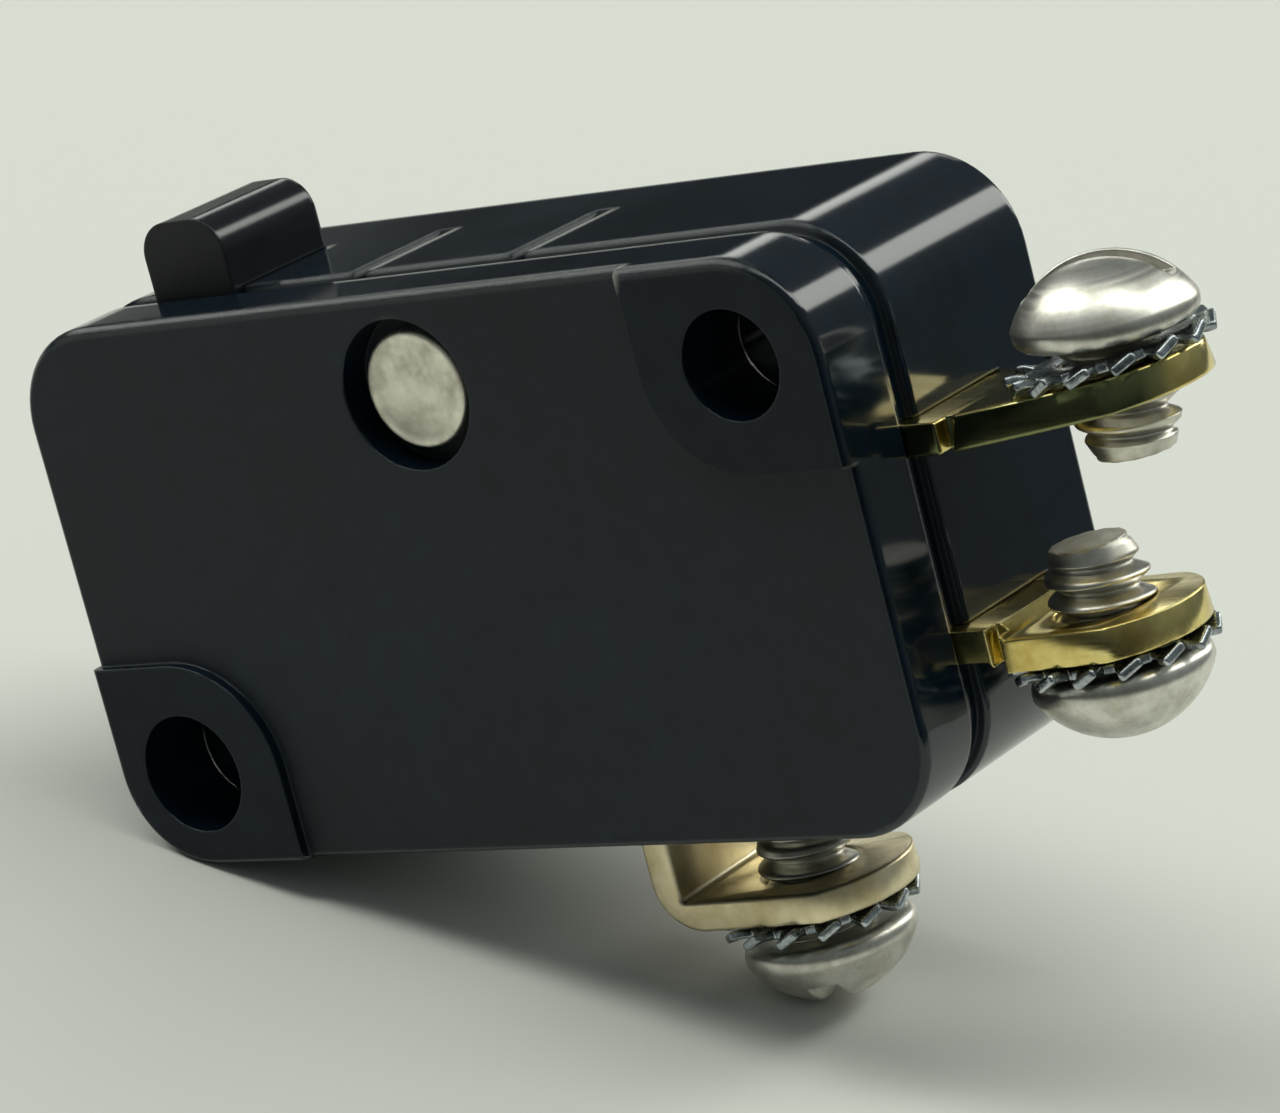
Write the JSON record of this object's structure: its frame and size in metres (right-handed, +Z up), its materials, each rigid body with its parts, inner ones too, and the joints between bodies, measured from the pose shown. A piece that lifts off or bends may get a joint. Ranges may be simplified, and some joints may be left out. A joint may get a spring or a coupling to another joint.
{
  "type": "pin plunger micro switch",
  "caption": "Snap-action pin plunger micro switch in a rounded black moulded case, with mounting holes and brass strap terminals that carry slotted screws and toothed lock washers.",
  "frame": {"origin": "axis of the lower mounting hole, half way through the case thickness", "axes": "+X from the lower hole towards the end terminals, +Y along the mounting holes to the back, +Z up towards the plunger"},
  "size_m": [0.0357, 0.0104, 0.0243],
  "materials": {
    "case_plastic": "semi-gloss moulded",
    "cover_plastic": "satin moulded",
    "plunger_plastic": "polished moulded",
    "rivet_metal": "matte",
    "terminal_brass": "rolled sheet",
    "contact_silver": "satin",
    "anchor_metal": "rolled sheet",
    "spring_copper": "rolled sheet",
    "screw_steel": "bright nickel plate",
    "washer_steel": "zinc plate"
  },
  "bodies": {
    "case": {"base_case": "case_plastic", "front_cover": "cover_plastic", "cover_rivet": "rivet_metal", "nc_terminal": "terminal_brass", "no_terminal": "terminal_brass", "common_terminal": "terminal_brass", "nc_contact": "contact_silver", "no_contact": "contact_silver", "spring_anchor": "anchor_metal", "anchor_rivet": "rivet_metal", "bow_spring": "spring_copper"},
    "plunger": {"plunger": "plunger_plastic"},
    "contact_arm": {"snap_blade": "spring_copper", "moving_contact": "contact_silver"},
    "nc_washer": {"nc_lock_washer": "washer_steel"},
    "nc_screw": {"nc_screw": "screw_steel"},
    "no_washer": {"no_lock_washer": "washer_steel"},
    "no_screw": {"no_screw": "screw_steel"},
    "common_washer": {"common_lock_washer": "washer_steel"},
    "common_screw": {"common_screw": "screw_steel"}
  },
  "joints": [
    {"name": "plunger_press", "type": "slide", "parent": "case", "child": "plunger", "axis": [0, 0, -1], "range_m": [0, 0.0014], "stiffness_N_per_m": 800, "springref_m": -0.001},
    {"name": "contact_swing", "type": "hinge", "parent": "case", "child": "contact_arm", "pos_m": [0.0007, 0, 0.00435], "axis": [0, 1, 0], "range_deg": [0, 1.95], "deforming": ["snap_blade", "bow_spring"]},
    {"name": "nc_washer_lift", "type": "slide", "parent": "case", "child": "nc_washer", "axis": [0, 0, 1], "range_m": [0, 0.00127]},
    {"name": "nc_screw_turn", "type": "hinge", "parent": "nc_washer", "child": "nc_screw", "pos_m": [0.0302, 0, 0.00764], "axis": [0, 0, 1], "range_deg": [0, 720]},
    {"name": "no_washer_lift", "type": "slide", "parent": "case", "child": "no_washer", "axis": [0.0436, 0, -0.999], "range_m": [0, 0.00127]},
    {"name": "no_screw_turn", "type": "hinge", "parent": "no_washer", "child": "no_screw", "pos_m": [0.02815, 0, 0.00126], "axis": [0.0436, 0, -0.999], "range_deg": [0, 720]},
    {"name": "common_washer_lift", "type": "slide", "parent": "case", "child": "common_washer", "axis": [0.0436, 0, -0.999], "range_m": [0, 0.00127]},
    {"name": "common_screw_turn", "type": "hinge", "parent": "common_washer", "child": "common_screw", "pos_m": [0.0167, 0, -0.00569], "axis": [0.0436, 0, -0.999], "range_deg": [0, 720]}
  ],
  "couplings": [
    {"joint": "contact_swing", "follows": "plunger_press", "rad_per_m": 24.308},
    {"joint": "nc_screw_turn", "follows": "nc_washer_lift", "rad_per_m": 9894.8},
    {"joint": "no_screw_turn", "follows": "no_washer_lift", "rad_per_m": 9894.8},
    {"joint": "common_screw_turn", "follows": "common_washer_lift", "rad_per_m": 9894.8}
  ]
}
